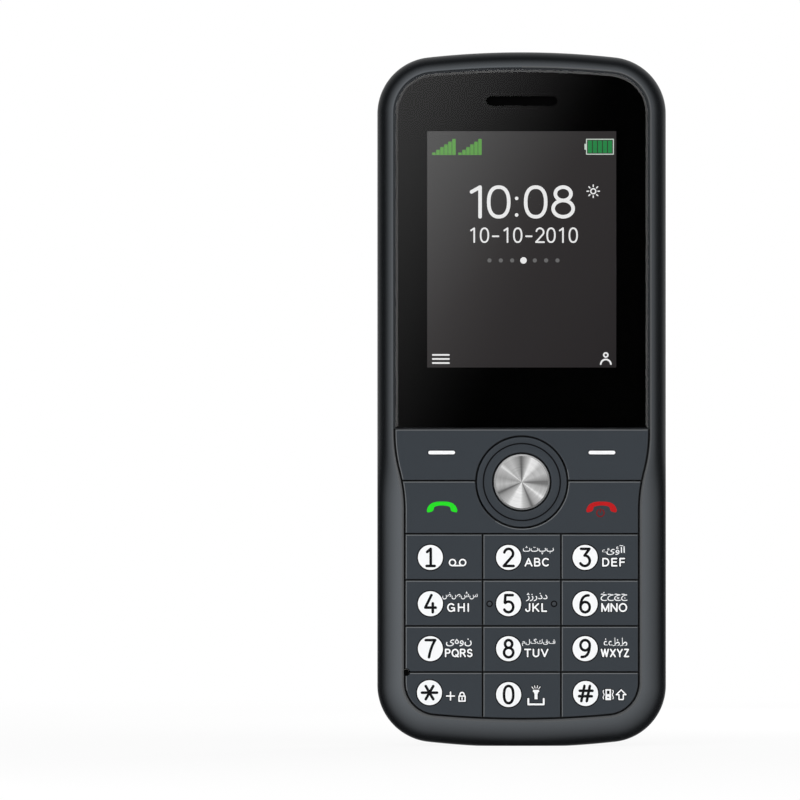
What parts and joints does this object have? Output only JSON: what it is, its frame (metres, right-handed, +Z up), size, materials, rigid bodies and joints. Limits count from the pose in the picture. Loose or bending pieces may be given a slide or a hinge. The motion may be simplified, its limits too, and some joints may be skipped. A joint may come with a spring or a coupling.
{
  "type": "feature phone",
  "caption": "Candybar feature phone with a small display, navigation ring, numeric keypad and a camera in its pull-off back cover.",
  "frame": {"origin": "middle of the phone's bounding box, on the surface that its bottom end stands on", "axes": "+Z up the phone's length, +X to the right seen from the front, +Y from the keys to the back cover"},
  "size_m": [0.0484, 0.0152, 0.1163],
  "materials": {
    "shell_plastic": "satin moulded charcoal plastic",
    "cover_plastic": "satin grey plastic with a soft sheen",
    "key_plastic": "satin dark grey plastic with printed legends",
    "window_acrylic": "polished acrylic, printed black behind, clear over the display",
    "display_glass": "display glass with a dark grey picture",
    "black_foam": "closed cell foam",
    "sheet_steel": "tinned sheet steel",
    "screw_steel": "blackened steel",
    "flex_film": "amber polyimide film",
    "speaker_mesh": "fine black dust mesh",
    "black_component": "moulded black component plastic",
    "silicone": "dark translucent silicone",
    "dome_metal": "stainless contact domes on film",
    "board_laminate": "green solder mask over glass laminate",
    "satin_aluminium": "turned aluminium with bright edges",
    "spun_aluminium": "circular brushed bright aluminium",
    "camera_window": "black printed glass",
    "lens_glass": "clear coated lens",
    "torch_white": "light emitter with yellow phosphor",
    "contact_gold": "gold plated spring metal",
    "battery_wrap": "printed film wrap"
  },
  "bodies": {
    "body": {"front_housing": "shell_plastic", "rear_housing": "shell_plastic", "display_window": "window_acrylic", "display_gasket": "black_foam", "lcd_panel": "display_glass", "lcd_frame": "sheet_steel", "lcd_flex": "flex_film", "earpiece_mesh": "speaker_mesh", "earpiece_speaker": "black_component", "keypad_mat": "silicone", "dome_sheet": "dome_metal", "main_board": "board_laminate", "baseband_shield": "sheet_steel", "radio_shield": "sheet_steel", "microphone": "sheet_steel", "microphone_boot": "silicone", "vibration_motor": "sheet_steel", "loudspeaker": "black_component", "loudspeaker_mesh": "speaker_mesh", "camera_module": "black_component", "torch_led": "torch_white", "torch_lens": "lens_glass", "charging_socket": "sheet_steel", "headphone_socket": "black_component", "battery_contacts": "contact_gold", "sim_reader_left": "sheet_steel", "sim_reader_right": "sheet_steel", "memory_card_reader": "sheet_steel", "housing_screws": "screw_steel", "antenna": "contact_gold"},
    "key_1": {"key_1": "key_plastic"},
    "key_2": {"key_2": "key_plastic"},
    "key_3": {"key_3": "key_plastic"},
    "key_4": {"key_4": "key_plastic"},
    "key_5": {"key_5": "key_plastic"},
    "key_6": {"key_6": "key_plastic"},
    "key_7": {"key_7": "key_plastic"},
    "key_8": {"key_8": "key_plastic"},
    "key_9": {"key_9": "key_plastic"},
    "key_star": {"key_star": "key_plastic"},
    "key_0": {"key_0": "key_plastic"},
    "key_hash": {"key_hash": "key_plastic"},
    "softkey_bar": {"softkey_bar": "key_plastic"},
    "call_bar": {"call_bar": "key_plastic"},
    "nav_rocker": {"nav_rocker": "silicone"},
    "nav_ring": {"nav_ring": "key_plastic"},
    "select_key": {"select_key": "spun_aluminium"},
    "battery": {"battery": "battery_wrap"},
    "back_cover": {"back_cover": "cover_plastic", "camera_bezel": "satin_aluminium", "camera_trim_ring": "satin_aluminium", "camera_glass": "camera_window", "camera_inner_ring": "satin_aluminium", "camera_lens": "lens_glass"}
  },
  "joints": [
    {"name": "key_1_press", "type": "slide", "parent": "body", "child": "key_1", "axis": [0, 1, 0], "range_m": [0, 0.00035], "stiffness_N_per_m": 3000},
    {"name": "key_2_press", "type": "slide", "parent": "body", "child": "key_2", "axis": [0, 1, 0], "range_m": [0, 0.00035], "stiffness_N_per_m": 3000},
    {"name": "key_3_press", "type": "slide", "parent": "body", "child": "key_3", "axis": [0, 1, 0], "range_m": [0, 0.00035], "stiffness_N_per_m": 3000},
    {"name": "key_4_press", "type": "slide", "parent": "body", "child": "key_4", "axis": [0, 1, 0], "range_m": [0, 0.00035], "stiffness_N_per_m": 3000},
    {"name": "key_5_press", "type": "slide", "parent": "body", "child": "key_5", "axis": [0, 1, 0], "range_m": [0, 0.00035], "stiffness_N_per_m": 3000},
    {"name": "key_6_press", "type": "slide", "parent": "body", "child": "key_6", "axis": [0, 1, 0], "range_m": [0, 0.00035], "stiffness_N_per_m": 3000},
    {"name": "key_7_press", "type": "slide", "parent": "body", "child": "key_7", "axis": [0, 1, 0], "range_m": [0, 0.00035], "stiffness_N_per_m": 3000},
    {"name": "key_8_press", "type": "slide", "parent": "body", "child": "key_8", "axis": [0, 1, 0], "range_m": [0, 0.00035], "stiffness_N_per_m": 3000},
    {"name": "key_9_press", "type": "slide", "parent": "body", "child": "key_9", "axis": [0, 1, 0], "range_m": [0, 0.00035], "stiffness_N_per_m": 3000},
    {"name": "key_star_press", "type": "slide", "parent": "body", "child": "key_star", "axis": [0, 1, 0], "range_m": [0, 0.00035], "stiffness_N_per_m": 3000},
    {"name": "key_0_press", "type": "slide", "parent": "body", "child": "key_0", "axis": [0, 1, 0], "range_m": [0, 0.00035], "stiffness_N_per_m": 3000},
    {"name": "key_hash_press", "type": "slide", "parent": "body", "child": "key_hash", "axis": [0, 1, 0], "range_m": [0, 0.00035], "stiffness_N_per_m": 3000},
    {"name": "select_press", "type": "slide", "parent": "body", "child": "select_key", "axis": [0, 1, 0], "range_m": [0, 0.00035], "stiffness_N_per_m": 3000},
    {"name": "softkey_bar_rock", "type": "hinge", "parent": "body", "child": "softkey_bar", "pos_m": [0, -0.00583, 0.0483], "axis": [0, 0, 1], "range_deg": [-1, 1], "stiffness_Nm_per_rad": 1.2},
    {"name": "call_bar_rock", "type": "hinge", "parent": "body", "child": "call_bar", "pos_m": [0, -0.00583, 0.04], "axis": [0, 0, 1], "range_deg": [-1, 1], "stiffness_Nm_per_rad": 1.2},
    {"name": "nav_up_down", "type": "hinge", "parent": "body", "child": "nav_rocker", "pos_m": [0, -0.00583, 0.04426], "axis": [1, 0, 0], "range_deg": [-1.5, 1.5], "stiffness_Nm_per_rad": 0.3},
    {"name": "nav_left_right", "type": "hinge", "parent": "nav_rocker", "child": "nav_ring", "pos_m": [0, -0.00583, 0.04426], "axis": [0, 0, 1], "range_deg": [-1.5, 1.5], "stiffness_Nm_per_rad": 0.3},
    {"name": "cover_pull", "type": "slide", "parent": "body", "child": "back_cover", "axis": [0, 1, 0], "range_m": [0, 0.024]},
    {"name": "battery_lift", "type": "slide", "parent": "body", "child": "battery", "axis": [0, 1, 0], "range_m": [0, 0.012]}
  ],
  "couplings": [
    {"joint": "battery_lift", "follows": "cover_pull", "ratio": 0.5}
  ]
}
